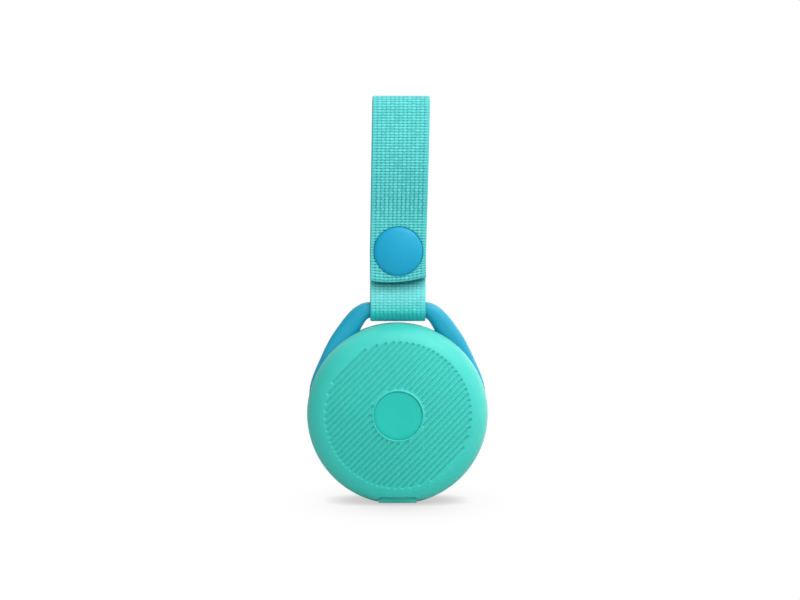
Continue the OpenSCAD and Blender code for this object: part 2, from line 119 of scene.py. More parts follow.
def new_object(name, verts, faces, angle=35.0):
    """A mesh from points in the row frame, smooth except across edges sharper than angle."""
    mesh = bpy.data.meshes.new(name)
    mesh.from_pydata([tuple(v) for v in verts], [], faces)
    mesh.validate()
    bm = bmesh.new()
    bm.from_mesh(mesh)
    bmesh.ops.recalc_face_normals(bm, faces=bm.faces)
    bm.to_mesh(mesh)
    bm.free()
    obj = linked(name, mesh)
    smooth(obj, angle)
    return obj


def smooth(obj, angle):
    obj.data.shade_smooth()
    obj.data.set_sharp_from_angle(angle=math.radians(angle))


def apply_modifiers(obj):
    """Bakes an object's modifiers into its mesh."""
    graph = bpy.context.evaluated_depsgraph_get()
    mesh = bpy.data.meshes.new_from_object(obj.evaluated_get(graph))
    obj.modifiers.clear()
    old = obj.data
    obj.data = mesh
    bpy.data.meshes.remove(old)


def cut(obj, cutters, operation="DIFFERENCE", angle=35.0):
    """Cuts obj with other meshes, which are used up."""
    for cutter in cutters:
        mod = obj.modifiers.new("cut", "BOOLEAN")
        mod.operation = operation
        mod.solver = "EXACT"
        mod.object = cutter
    apply_modifiers(obj)
    for cutter in cutters:
        bpy.data.objects.remove(cutter)
    smooth(obj, angle)


def bevel(obj, width, segments=3, angle=40.0):
    """Rounds every edge sharper than angle, in mm."""
    mod = obj.modifiers.new("bevel", "BEVEL")
    mod.width = width * MM
    mod.segments = segments
    mod.limit_method = "ANGLE"
    mod.angle_limit = math.radians(angle)
    mod.use_clamp_overlap = True
    apply_modifiers(obj)
    smooth(obj, 35)


def lattice_faces(rows, cols, wrap_rows=False):
    """Quads of a grid of points, row by row. Each row closes on itself."""
    r = np.arange(rows if wrap_rows else rows - 1)
    rr, cc = np.meshgrid(r, np.arange(cols), indexing="ij")
    r2, c2 = (rr + 1) % rows, (cc + 1) % cols
    quads = np.stack([rr * cols + cc, rr * cols + c2, r2 * cols + c2, r2 * cols + cc], -1)
    return quads.reshape(-1, 4).tolist()


def closed_tube(count, n):
    """Faces of count rings of n points each, with a flat end on the first and the last."""
    base = (count - 1) * n
    return lattice_faces(count, n) + [tuple(range(n)), tuple(range(base, base + n))]


def turned(profile, segments):
    """Points and faces of a (radius, z) profile turned about the body's axis.

    The profile starts and ends on the axis.
    """
    inner = np.asarray(profile[1:-1], float)
    a = np.linspace(0, 2 * math.pi, segments, endpoint=False)
    ring = np.stack([np.cos(a), np.sin(a)], -1)
    heights = np.broadcast_to(inner[:, None, 1:], (len(inner), segments, 1))
    points = np.concatenate([inner[:, None, :1] * ring[None], heights], -1).reshape(-1, 3)
    faces = lattice_faces(len(inner), segments)
    first, last = len(points), len(points) + 1
    base = (len(inner) - 1) * segments
    for i in range(segments):
        j = (i + 1) % segments
        faces.append((first, j, i))
        faces.append((last, base + i, base + j))
    ends = [[0, 0, profile[0][1]], [0, 0, profile[-1][1]]]
    return np.vstack([points, ends]), faces


def arc(cx, cy, r, a0, a1, n):
    """n + 1 points of an arc, angles in degrees."""
    a = np.radians(np.linspace(a0, a1, n + 1))
    return [(cx + r * math.cos(t), cy + r * math.sin(t)) for t in a]


def prism(name, outline, z0, z1):
    """An outline in the body's xy view, drawn out from z0 to z1."""
    n = len(outline)
    points = [(x, y, z0) for x, y in outline] + [(x, y, z1) for x, y in outline]
    faces = [(i, (i + 1) % n, n + (i + 1) % n, n + i) for i in range(n)]
    faces += [tuple(range(n)), tuple(range(n, 2 * n))]
    return new_object(name, row(points), faces)


def rounded_rect(half_w, half_h, r, inset=0.0, per_corner=6, per_side=6):
    """Points round a rounded rectangle, the same number for any inset."""
    rr = max(r - inset, 0.02)
    w, h = half_w - inset - rr, half_h - inset - rr
    corners = ((w, h, 0), (-w, h, 90), (-w, -h, 180), (w, -h, 270))
    arcs = [np.array(arc(cx, cy, rr, a, a + 90, per_corner)) for cx, cy, a in corners]
    points = []
    for here, there in zip(arcs, arcs[1:] + arcs[:1]):
        along = np.arange(1, per_side)[:, None] / per_side
        points += [here, here[-1] + (there[0] - here[-1]) * along]
    return np.vstack(points)


def turn_z(points, degrees):
    """Points turned about the body's axis."""
    a = math.radians(degrees)
    p = np.asarray(points, float)
    c, s = math.cos(a), math.sin(a)
    return np.column_stack([c * p[:, 0] - s * p[:, 1], s * p[:, 0] + c * p[:, 1], p[:, 2]])


def drum(tz, r, shift=0.0):
    """Points (along, z) laid on a drum of radius r about the body's axis, seen along x."""
    t = tz[:, 0] + shift
    return np.column_stack([np.sqrt(r * r - t * t), t, tz[:, 1]])


def drum_pad(name, half_w, half_h, corner, r0, r1, edge, turn, along=0.0, z=0.0, dish=0.0):
    """A rounded pad that follows the drum's curve from radius r0 to r1.

    Its outer edge is rounded and its middle dished a little.
    """
    loops = [(0.0, r0), (0.0, r1 - edge)]
    for a in np.radians([22, 45, 68, 90]):
        loops.append((edge * (1 - math.cos(a)), r1 - edge * (1 - math.sin(a))))
    bottom, top = (rounded_rect(half_w, half_h, corner, inset) for inset in (0.0, edge))
    rings = [drum(bottom * k + [0, z], r0, along) for k in (0.3, 0.65)]
    rings += [drum(rounded_rect(half_w, half_h, corner, i) + [0, z], r, along) for i, r in loops]
    for k in (0.8, 0.6, 0.4, 0.2):
        rings.append(drum(top * k + [0, z], r1 - dish * (1 - k * k), along))
    n = len(top)
    tips = [drum(np.array([[0.0, z]]), r, along) for r in (r0, r1 - dish)]
    points = np.vstack(rings + tips)
    faces = lattice_faces(len(rings), n)
    first, last, base = len(points) - 2, len(points) - 1, (len(rings) - 1) * n
    faces += [(last, base + i, base + (i + 1) % n) for i in range(n)]
    faces += [(first, (i + 1) % n, i) for i in range(n)]
    return new_object(name, row(turn_z(points, turn)), faces)


def smoothstep(a, b, x):
    """0 below a, 1 above b, and a smooth rise between them."""
    t = np.clip((x - a) / (b - a), 0, 1)
    return t * t * (3 - 2 * t)


def float_attribute(obj, name, values):
    """One number for each of the mesh's points, which its material reads."""
    attribute = obj.data.attributes.new(name, "FLOAT", "POINT")
    attribute.data.foreach_set("value", np.asarray(values, np.float32))


# ---------- materials ----------


class Nodes:
    """A short way to write node trees."""

    def __init__(self, name):
        self.material = bpy.data.materials.new(name)
        self.material.use_nodes = True
        self.tree = self.material.node_tree
        self.bsdf = self.tree.nodes["Principled BSDF"]

    def add(self, kind, **values):
        node = self.tree.nodes.new("ShaderNode" + kind)
        for key, value in values.items():
            if key in node.inputs:
                self.set(node.inputs[key], value)
            else:
                setattr(node, key, value)
        return node

    def set(self, socket, value):
        if isinstance(value, bpy.types.NodeSocket):
            self.tree.links.new(value, socket)
        elif isinstance(value, (tuple, list)) and len(value) == 3 and socket.type == "RGBA":
            socket.default_value = (*value, 1)
        else:
            socket.default_value = value

    def shader(self, **values):
        for key, value in values.items():
            self.set(self.bsdf.inputs[key.replace("_", " ")], value)

    def place(self):
        return self.add("TexCoord").outputs["Object"]

    def noise(self, scale, detail=3.0, stretch=None, where=None):
        where = where or self.place()
        if stretch:
            mapping = self.add("Mapping")
            self.set(mapping.inputs["Vector"], where)
            mapping.inputs["Scale"].default_value = stretch
            where = mapping.outputs["Vector"]
        return self.add("TexNoise", Vector=where, Scale=scale, Detail=detail).outputs["Fac"]

    def ramp(self, fac, low, high, out_low=0.0, out_high=1.0):
        node = self.add("MapRange")
        for i, value in enumerate((fac, low, high, out_low, out_high)):
            self.set(node.inputs[i], value)
        return node.outputs["Result"]

    def mix(self, fac, a, b):
        node = self.add("Mix", data_type="RGBA")
        self.set(node.inputs["Factor"], fac)
        self.set(node.inputs[6], a)
        self.set(node.inputs[7], b)
        return node.outputs[2]

    def math(self, operation, a, b=0.0):
        node = self.add("Math", operation=operation)
        self.set(node.inputs[0], a)
        self.set(node.inputs[1], b)
        return node.outputs[0]

    def attribute(self, name):
        return self.add("Attribute", attribute_name=name).outputs["Fac"]

    def bump(self, height, strength, distance, normal=None):
        node = self.add("Bump", Height=height, Strength=strength, Distance=distance)
        if normal is not None:
            self.set(node.inputs["Normal"], normal)
        return node.outputs["Normal"]


def shade(color, k):
    """A darker or lighter tone of a colour."""
    return tuple(min(1.0, c * k) for c in color)


def moulded(
    name, color, rough, grain=2600.0, bump=0.12, mottle=0.05, sheen=0.0, specular=0.5
):
    """Moulded rubber or plastic: a fine grain, slight mottling, and a roughness that varies."""
    n = Nodes(name)
    fine = n.noise(grain, 2.0)
    broad = n.noise(55.0, 3.0)
    base = n.mix(n.ramp(broad, 0.3, 0.7), shade(color, 1 - mottle), shade(color, 1 + mottle))
    marks = n.math("ADD", fine, n.noise(160.0, 3.0))
    n.shader(
        Base_Color=base,
        Roughness=n.ramp(marks, 0.6, 1.4, rough - 0.05, rough + 0.06),
        Normal=n.bump(fine, bump, 0.00006),
        Sheen_Weight=sheen,
        Sheen_Roughness=0.5,
        Specular_IOR_Level=specular,
    )
    return n.material


def metal(name, color, rough, stretch):
    """Drawn or turned metal with fine directional marks."""
    n = Nodes(name)
    marks = n.noise(900.0, 3.0, stretch)
    n.shader(
        Base_Color=n.mix(marks, shade(color, 0.85), shade(color, 1.1)),
        Metallic=1.0,
        Roughness=n.ramp(marks, 0.3, 0.7, rough - 0.06, rough + 0.1),
        Normal=n.bump(marks, 0.1, 0.00004),
    )
    return n.material


def board(name, color):
    """Solder mask over copper: pale tracks and pads show through."""
    n = Nodes(name)
    cells = n.add("TexVoronoi", Vector=n.place(), Scale=420.0, distance="CHEBYCHEV")
    tracks = n.ramp(cells.outputs["Distance"], 0.32, 0.38)
    n.shader(
        Base_Color=n.mix(tracks, color, shade(color, 1.9)),
        Roughness=n.ramp(tracks, 0.0, 1.0, 0.32, 0.42),
        Normal=n.bump(tracks, 0.15, 0.00003),
        Specular_IOR_Level=0.6,
    )
    return n.material


def cloth(name, color):
    """Fine plain-woven cloth, for the acoustic mesh and the driver's spider."""
    n = Nodes(name)
    where = n.place()
    yarns = [n.add("TexWave", Vector=where, Scale=600.0, bands_direction=d) for d in "XZ"]
    weave = n.math("MULTIPLY", *(node.outputs["Fac"] for node in yarns))
    n.shader(
        Base_Color=n.mix(weave, shade(color, 0.5), shade(color, 1.2)),
        Roughness=0.9,
        Sheen_Weight=0.3,
        Normal=n.bump(weave, 0.4, 0.0001),
    )
    return n.material


TEAL = (0.012, 0.545, 0.465)
GROOVE_SHADE_TEAL = (0.008, 0.42, 0.355)
DEEP_TEAL = (0.032, 0.49, 0.43)
BLUE = (0.002, 0.34, 0.51)
SNAP_BLUE = (0.001, 0.335, 0.555)
# Webbing, from the crevices in painted shade to the yarns' crowns in painted light, then painted shade and painted
# light along the strap.
YARN_LOW, YARN_MID, YARN_HIGH = (0.005, 0.17, 0.18), (0.04, 0.42, 0.425), (0.16, 0.78, 0.77)
PAINTED_SHADE_TONE, PAINTED_LIGHT_TONE = (0.002, 0.22, 0.23), (0.25, 0.95, 0.93)
# Painted bounce light where the webbing turns under the bar, and painted shade where plies lie close.
PAINTED_BOUNCE_TEAL, CLOSE_PLY_SHADE_TEAL = (0.004, 0.62, 0.6), (0.001, 0.12, 0.13)
DARKEST_PAINTED_SHADE = -0.35
FILAMENTS = (9.0, 1.6, 1.0)  # noise cells to a millimetre, across and along the strap


def silicone():
    """Both soft shells: matte teal with a faint powdery sheen, and painted shade that darkens the grooves."""
    n = Nodes("soft_teal")
    fine = n.noise(3200.0, 2.0)
    broad = n.noise(38.0, 3.0)
    base = n.mix(n.ramp(broad, 0.3, 0.7), shade(TEAL, 0.96), shade(TEAL, 1.04))
    # Painted shade: the grooves take a darker teal.
    base = n.mix(n.math("MULTIPLY", n.attribute("groove"), 0.5), base, GROOVE_SHADE_TEAL)
    marks = n.math("ADD", fine, n.noise(210.0, 3.0))
    n.shader(
        Base_Color=base,
        Roughness=n.ramp(marks, 0.6, 1.4, 0.5, 0.62),
        Normal=n.bump(fine, 0.1, 0.00005),
        Sheen_Weight=0.2,
        Sheen_Roughness=0.5,
        Specular_IOR_Level=0.7,
    )
    return n.material


def webbing_material():
    """Nylon webbing: painted light on the yarn crowns, painted shade in the crevices, fine filaments that run
    along the strap.
    """
    n = Nodes("webbing")
    relief = n.attribute("relief")
    where = n.add("Attribute", attribute_name="weave_at").outputs["Vector"]
    threads = n.noise(1.0, 3.0, FILAMENTS, where)
    tone = n.noise(0.09, 2.0, where=where)
    # Painted shade in the crevices and painted light on the crowns, from the weave's relief.
    base = n.mix(n.ramp(relief, 0.15, 0.6), YARN_LOW, YARN_MID)
    base = n.mix(n.ramp(relief, 0.6, 1.0), base, YARN_HIGH)
    base = n.mix(n.ramp(threads, 0.35, 0.7, 0.0, 0.25), base, shade(YARN_LOW, 1.9))
    base = n.mix(n.ramp(tone, 0.3, 0.7, 0.0, 0.12), base, YARN_MID)
    # Painted shade where the strap faces down and along its left edge, painted light where it faces up and on the
    # tail.
    base = n.mix(n.ramp(n.attribute("lit"), DARKEST_PAINTED_SHADE, 0.0, 0.45, 0.0), base, PAINTED_SHADE_TONE)
    base = n.mix(n.ramp(n.attribute("lit"), 0.0, 0.5, 0.0, 0.6), base, PAINTED_LIGHT_TONE)
    # Painted bounce light under the bar: a deeper, more saturated teal.
    base = n.mix(n.math("MULTIPLY", n.attribute("wrapped"), 0.8), base, PAINTED_BOUNCE_TEAL)
    # Painted shade: where plies lie close and let in little light, the colour is darkened.
    tucked = n.add("AmbientOcclusion", samples=12, Distance=0.007).outputs["AO"]
    unwrapped = n.math("SUBTRACT", 1.0, n.attribute("wrapped"))
    shaded = n.math("MULTIPLY", n.ramp(tucked, 0.68, 0.97, 1.0, 0.0), unwrapped)
    base = n.mix(shaded, base, CLOSE_PLY_SHADE_TEAL)
    open_air = n.math("SUBTRACT", 1.0, shaded)
    n.shader(
        Base_Color=base,
        Roughness=n.ramp(threads, 0.3, 0.7, 0.55, 0.75),
        Sheen_Weight=n.math("MULTIPLY", open_air, 0.25),
        Sheen_Roughness=0.4,
        Specular_IOR_Level=n.math("MULTIPLY", open_air, 0.35),
        Normal=n.bump(threads, 0.35, 0.00008),
    )
    return n.material


# Each finish's colour and roughness, and what sets it apart.
MOULDED = {
    "panel_teal": (TEAL, 0.5, dict(grain=1500.0, bump=0.2)),
    "disc_teal": ((0.007, 0.515, 0.44), 0.36, dict(bump=0.05, mottle=0.02, specular=0.35)),
    "loop_blue": (BLUE, 0.45, dict(grain=2400.0, bump=0.1, sheen=0.06, specular=0.36)),
    "key_blue": ((0.014, 0.37, 0.65), 0.5, dict(bump=0.12, sheen=0.1)),
    "foot_teal": (DEEP_TEAL, 0.62, dict(grain=1700.0, bump=0.25, sheen=0.1)),
    "snap_blue": (SNAP_BLUE, 0.46, dict(grain=2000.0, bump=0.09, mottle=0.03, specular=0.3)),
    "housing_plastic": ((0.03, 0.03, 0.035), 0.55, dict(grain=1500.0, bump=0.25)),
    "seal_rubber": ((0.02, 0.02, 0.02), 0.7, {}),
    "cone_paper": ((0.05, 0.05, 0.06), 0.75, dict(grain=900.0, bump=0.5, mottle=0.2)),
    "component_black": ((0.02, 0.02, 0.022), 0.45, dict(grain=4000.0)),
    "connector_white": ((0.8, 0.79, 0.74), 0.5, {}),
    "lead_red": ((0.55, 0.01, 0.01), 0.4, dict(bump=0.02)),
    "led_white": ((0.85, 0.84, 0.7), 0.3, {}),
    "light_pipe": ((0.85, 0.93, 0.97), 0.25, dict(bump=0.05, mottle=0.02)),
    "flex_amber": ((0.5, 0.22, 0.04), 0.3, dict(bump=0.03)),
}
# The last value is how much finer the marks are along x, y and z.
METALS = {
    "steel": ((0.55, 0.56, 0.58), 0.3, (1, 1, 12)),
    "magnet": ((0.12, 0.12, 0.13), 0.5, (1, 1, 1)),
    "copper": ((0.75, 0.36, 0.18), 0.3, (1, 40, 1)),
    "capacitor": ((0.6, 0.6, 0.6), 0.3, (1, 1, 12)),
    "cell_foil": ((0.45, 0.47, 0.5), 0.42, (1, 1, 1)),
}
MATERIALS = {name: moulded(name, *look, **more) for name, (*look, more) in MOULDED.items()}
MATERIALS |= {name: metal(name, *look) for name, look in METALS.items()}
MATERIALS |= {
    "soft_teal": silicone(),
    "webbing_teal": webbing_material(),
    "mesh_teal": cloth("mesh_teal", (0.02, 0.3, 0.27)),
    "spider_cloth": cloth("spider_cloth", (0.5, 0.32, 0.12)),
    "board_green": board("board_green", (0.01, 0.12, 0.05)),
}


def finish(obj, slot, body, *nodes):
    """Gives a piece its material and slot, the body it rides on and the CAD nodes it stands for."""
    obj.data.materials.clear()
    obj.data.materials.append(MATERIALS[slot])
    if body:
        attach(obj, body)
    if nodes:
        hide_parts(*nodes)
    return obj


def repaint_cad():
    """Every CAD node takes the procedural material of its slot."""
    for part in frame["record"]["subparts"]:
        mesh = frame["nodes"][part["node"]].data
        mesh.materials.clear()
        mesh.materials.append(MATERIALS[part["material_slot"]])


# ---------- shells ----------


def dome_z(r):
    """Height of the front's dome at a distance from the axis."""
    return DOME_CZ + math.sqrt(DOME_R**2 - r * r)


def groove_share(x, y):
    """How deep into a slot each point lies, from 0 on a rib's crown to 1 on a slot's floor."""
    c = math.sqrt(0.5)
    u, v = c * (x + y), c * (y - x)  # along the slots, which lie at 45 degrees, and across them
    rows = math.floor((GRILLE_R - 1.5) / SLOT_PITCH)
    i = np.round(v / SLOT_PITCH)
    v0 = i * SLOT_PITCH
    far = np.sqrt(np.maximum(GRILLE_R**2 - v0**2, 0)) - SLOT_HALF
    keep = BADGE_R + BADGE_KEEP
    clear = np.sqrt(np.maximum(keep**2 - v0**2, 1)) + SLOT_HALF
    near = np.where(np.abs(v0) < keep - 0.3, clear, -1e3)
    beyond = np.maximum(np.maximum(np.abs(u) - far, near - np.abs(u)), 0)
    d = np.hypot(v - v0, beyond)
    return np.where(np.abs(i) <= rows, 1 - smoothstep(SLOT_FLOOR, SLOT_BRINK, d), 0)


def edge_arc(cz, r, degrees):
    """Points of a shell's rounded edge, about a centre at height cz."""
    return [(EDGE_CR + r * math.cos(a), cz + r * math.sin(a)) for a in np.radians(degrees)]


def build_front_cover():
    """The ribbed cover, with its badge's seat, as one turned shell whose slots are sunk into it."""
    floor_z = HALF_DEPTH - BADGE_SINK
    wall_r = BADGE_R + 0.1
    crown = dome_z(12.0)
    profile = [(0, floor_z), (6, floor_z), (wall_r - 0.1, floor_z)]
    profile += [(wall_r, floor_z + 0.1), (wall_r, crown - 0.25)]
    profile += [(wall_r + out, crown + up) for out, up in BADGE_BEAD]
    profile += [(r, dome_z(r)) for r in np.arange(BEAD_END_R, DOME_END_R - 0.1, 0.236)]
    # The edge has fine steps as far as the slots reach, and coarser ones beyond.
    first = math.degrees(math.acos((DOME_END_R - EDGE_CR) / EDGE_R))
    steps = np.concatenate([np.linspace(first, 67.5, 9), np.linspace(67.5, 0, 17)[1:]])
    profile += edge_arc(EDGE_CZ, EDGE_R, steps)
    profile += [(BODY_R, RIM_Z + 0.35), (BODY_R - 0.1, RIM_Z + 0.1), (BODY_R - 0.35, RIM_Z)]
    inner = EDGE_R - FRONT_WALL
    profile += [(EDGE_CR + inner, RIM_Z), (EDGE_CR + inner, EDGE_CZ)]
    profile += edge_arc(EDGE_CZ, inner, [25, 50, 76])
    profile += [(18, dome_z(18) - FRONT_WALL), (0, dome_z(0) - FRONT_WALL)]
    points, faces = turned(profile, COVER_SEGMENTS)
    # Slots are sunk along the surface's own normal, into the outer face beyond the bead.
    x, y, z = points.T
    r = np.hypot(x, y)
    on_dome = r < DOME_END_R
    surface = np.where(on_dome, DOME_CZ + np.sqrt(DOME_R**2 - r**2), 0)
    outer = (z > surface - 0.01) & (z > 14.0) & (r > 12.2) & (r < GRILLE_R + 1.0)
    share = np.where(outer, groove_share(x, y), 0)
    nr = np.where(on_dome, r / DOME_R, (r - EDGE_CR) / EDGE_R)
    nz = np.sqrt(np.maximum(1 - nr**2, 0))
    safe = np.maximum(r, 1e-6)
    depth = SLOT_DEPTH * share
    points[:, 0] -= depth * nr * x / safe
    points[:, 1] -= depth * nr * y / safe
    points[:, 2] -= depth * nz
    obj = new_object("front_cover_skin", row(points), faces, 70)
    float_attribute(obj, "groove", share)
    cut(obj, base_cutters(), angle=70)
    return finish(obj, "soft_teal", "speaker", "front_cover")


def foot_outline(grow):
    """The foot seen from the front, with y from the floor, made larger all round by grow."""
    h, r, w = FOOT_H + grow, FOOT_CORNER, FOOT_W + grow
    corner = arc(w - r, h - r, r, 0, 90, 8)
    return [(w, -2 * grow)] + corner + [(-x, y) for x, y in reversed(corner)] + [(-w, -2 * grow)]


def base_cutters():
    """Two solids: room for the foot, and all that would come too close to the floor."""
    outline = [(x, y - BODY_Z) for x, y in foot_outline(FOOT_GAP)]
    outline[0] = (outline[0][0], -BODY_Z - 3)
    outline[-1] = (outline[-1][0], -BODY_Z - 3)
    foot = prism("foot_cutter", outline, -FAR, FAR)
    y0, y1 = -BODY_Z - 4, FLOOR_GAP - BODY_Z
    corners = [(-40, y0), (40, y0), (40, y1), (-40, y1)]
    return [foot, prism("floor_cutter", corners, -FAR - 1, FAR + 1)]


def build_rear_shell():
    """The plain back shell, with a seat for the rear panel and a pocket for the port's cover."""
    back = -HALF_DEPTH
    back_cz = EDGE_R - HALF_DEPTH
    seat, inside = back + 1.05, back + 2.6
    seat_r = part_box("rear_panel")[1][0] / MM + 0.1
    profile = [(0, seat), (10, seat), (20, seat), (seat_r, seat)]
    profile += [(seat_r, back + 0.2), (seat_r + 0.06, back + 0.06), (seat_r + 0.2, back)]
    profile += [(EDGE_CR, back)] + edge_arc(back_cz, EDGE_R, np.linspace(-87, 0, 30))
    profile += [(BODY_R, -RIM_Z - 0.35), (BODY_R - 0.1, -RIM_Z - 0.1), (BODY_R - 0.35, -RIM_Z)]
    profile += [(REAR_INSIDE_R, -RIM_Z), (REAR_INSIDE_R, back_cz)]
    inner_edge = edge_arc(back_cz, EDGE_R - REAR_WALL, [-25, -50, -70])
    profile += [(r, max(z, inside)) for r, z in inner_edge]
    profile += [(20, inside), (0, inside)]
    points, faces = turned(profile, SHELL_SEGMENTS)
    obj = new_object("rear_shell_skin", row(points), faces)
    pocket = drum_pad(
        "port_pocket", 8.85, 3.6, 1.6, 41.4, 46.0, 0.05, PORT_TURN + PORT_MID, z=PORT_Z
    )
    window = drum_pad("port_window", 4.9, 2.4, 1.0, 36.0, 44.0, 0.05, PORT_TURN, z=PORT_Z)
    cut(obj, [pocket, window] + base_cutters(), angle=40)
    return finish(obj, "soft_teal", "speaker", "rear_shell")


# The rear panel's rim and ring, as distances in from its edge and in from its back.
PANEL_RIM = [(0, 0.2), (0.06, 0.06), (0.2, 0), (1.6, 0), (1.9, 0.05), (2.15, 0.22), (2.5, 0.28)]
PANEL_RING = [(6.15, 0.2), (6.35, 0.12), (6.55, 0.2), (6.7, 0.28)]


def build_rear_panel():
    """The flat back: a rounded rim, a shallow dish and a fine raised ring inside it."""
    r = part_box("rear_panel")[1][0] / MM
    z = -HALF_DEPTH
    dish = z + 0.28
    profile = [(0, z + 1), (r, z + 1)]
    profile += [(r - back, z + up) for back, up in PANEL_RIM]
    profile += [(r - 6, dish)] + [(r - back, z + up) for back, up in PANEL_RING]
    profile += [(8, dish), (0, dish)]
    points, faces = turned(profile, PANEL_SEGMENTS)
    obj = new_object("rear_panel_disc", row(points), faces)
    return finish(obj, "panel_teal", "speaker", "rear_panel")


def build_centre_disc():
    """The plain disc in the badge's place, dished a little."""
    lo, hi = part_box("centre_disc")
    r, z0, z1 = hi[0] / MM, -hi[1] / MM, -lo[1] / MM
    profile = [(0, z0), (r, z0), (r, z1 - 0.18), (r - 0.05, z1 - 0.06), (r - 0.17, z1)]
    profile += [(k * (r - 0.17), z1 - 0.1 * (1 - k * k)) for k in (0.85, 0.65, 0.4, 0.2, 0)]
    points, faces = turned(profile, DISC_SEGMENTS)
    obj = new_object("centre_disc_plain", row(points), faces)
    return finish(obj, "disc_teal", "speaker", "centre_disc")


def build_foot():
    """The flat foot, with its edges rounded."""
    lo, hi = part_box("base_foot")
    outline = [(x, y - BODY_Z) for x, y in foot_outline(0)]
    obj = prism("foot_pad", outline, -hi[1] / MM, -lo[1] / MM)
    bevel(obj, 0.35, 3, angle=50)
    return finish(obj, "foot_teal", "speaker", "base_foot")


# ---------- loop ----------

# Down the right side from the middle of the bar: a point on the loop's outer outline, the one
# across from it on the inner outline, half the depth, and how square the section is.
LOOP_PAIRS = [
    ((0, 52.6), (0, 45.4), 3.6, 2.0),
    ((8, 52.6), (8, 45.4), 3.6, 2.0),
    ((12.4, 52.75), (12.2, 45.4), 3.7, 2.05),
    ((16.4, 52.2), (14.6, 44.2), 3.9, 2.2),
    ((20.7, 49.7), (16.6, 41.3), 4.0, 2.3),
    ((24.5, 45.8), (18.3, 38.2), 4.0, 2.35),
    ((27.7, 41.6), (20.6, 35.0), 4.0, 2.4),
    ((31.4, 36.2), (23.9, 31.0), 4.0, 2.5),
    ((34.4, 30.6), (27.6, 27.0), 4.0, 2.6),
    ((37.0, 24.8), (31.6, 21.4), 4.0, 2.8),
    ((39.6, 18.9), (34.6, 16.2), 4.0, 3.4),
    ((41.35, 13.2), (36.5, 11.3), 4.0, 4.6),
    ((42.0, 7.0), (37.7, 6.2), 4.0, 7.0),
]


SPAN_SAMPLES = 8
LOOP_SIDES = 40


def spline(values, samples):
    """A smooth curve through the rows of values, with so many samples to a span."""
    v = np.asarray(values, float)
    ends = np.vstack([2 * v[0] - v[1], v, 2 * v[-1] - v[-2]])
    t = np.linspace(0, 1, samples, endpoint=False)[:, None]
    out = []
    for i in range(1, len(ends) - 2):
        a, b, c, d = ends[i - 1 : i + 3]
        square, cube = 2 * a - 5 * b + 4 * c - d, 3 * b - a - 3 * c + d
        out.append(0.5 * (2 * b + (c - a) * t + square * t**2 + cube * t**3))
    return np.vstack(out + [v[-1:]])


def build_loop():
    """One closed sweep: bar, shoulders, legs, and the band that runs round inside the body."""
    pairs = [[*o, *i, half, power] for o, i, half, power in LOOP_PAIRS]
    mirrored = [-pairs[1][0], pairs[1][1], -pairs[1][2], *pairs[1][3:]]
    right = spline([mirrored] + pairs, SPAN_SAMPLES)[SPAN_SAMPLES:]
    start = math.degrees(math.atan2(7.0, 41.85))  # where the right leg runs into the band
    band = []
    for a in np.radians(np.arange(start - 3, -90.01, -3.0)):
        c, s = math.cos(a), math.sin(a)
        band.append([BAND_R * c, BAND_R * s, RING_R * c, RING_R * s, BAND_HALF, 12.0])
    right = np.vstack([right, band])
    left = right[1:-1][::-1] * [-1, 1, -1, 1, 1, 1]
    stations = np.vstack([right, left])
    t = np.linspace(0, 2 * math.pi, LOOP_SIDES, endpoint=False)
    rings = []
    for ox, oy, ix, iy, half, power in stations:
        e = 2 / power
        along = np.sign(np.cos(t)) * np.abs(np.cos(t)) ** e
        across = np.sign(np.sin(t)) * np.abs(np.sin(t)) ** e
        mid, arm = np.array([ox + ix, oy + iy]) / 2, np.array([ox - ix, oy - iy]) / 2
        xy = mid + along[:, None] * arm
        rings.append(np.column_stack([xy, across * half]))
    faces = lattice_faces(len(stations), LOOP_SIDES, wrap_rows=True)
    obj = new_object("hanging_loop", row(np.vstack(rings)), faces, 50)
    cut(obj, [loop_crown()], "UNION", 50)
    windows = [key_window(turn) for turn in (-KEY_LINE, 180 + KEY_LINE)]
    cut(obj, windows + base_cutters(), angle=40)
    return finish(obj, "loop_blue", "speaker", "loop_frame")


def loop_crown():
    """The band's top, between the legs."""
    z0, bevelled = -BAND_HALF, -3.7
    w = np.array([[RING_R, bevelled], [RING_R + 0.3, z0], [BAND_R - 0.3, z0], [BAND_R, bevelled]])
    section = np.vstack([w, w[::-1] * [1, -1]])
    r, z = section[:, :1], section[:, 1:]
    angles = np.radians(np.linspace(33, 147, 58))
    rings = [np.hstack([r * math.cos(a), r * math.sin(a), z]) for a in angles]
    return new_object("loop_crown", row(np.vstack(rings)), closed_tube(len(rings), len(section)))


def key_window(turn):
    """A solid that cuts the opening for one side's keys through the band."""
    outline = rounded_rect(16.4, 3.05, 0.6)
    ends = [np.column_stack([np.full(len(outline), x), outline]) for x in (30.0, 50.0)]
    points = turn_z(np.vstack(ends), turn)
    return new_object("key_window", row(points), closed_tube(2, len(outline)))


# ---------- keys ----------

KEY_LINE = 13.0  # degrees below level of the middle of each side's keys
KEY_STEP = 11.0
KEY_W, KEY_H = 4.2, 2.1
KEY_PROUD, ICON_PROUD, ICON_ROOT = 0.33, 0.13, 0.3  # of the band, and of the key's face


def icon_bar(w, h, x=0.0, y=0.0):
    """A bar's outline, from half its width and height."""
    return [(x - w, y - h), (x + w, y - h), (x + w, y + h), (x - w, y + h)]


def icon_ring(r, t, a0, a1, x=0.0, y=0.0):
    """The outline of a ring of thickness t, or of part of one."""
    return arc(x, y, r + t / 2, a0, a1, 20) + arc(x, y, r - t / 2, a1, a0, 20)


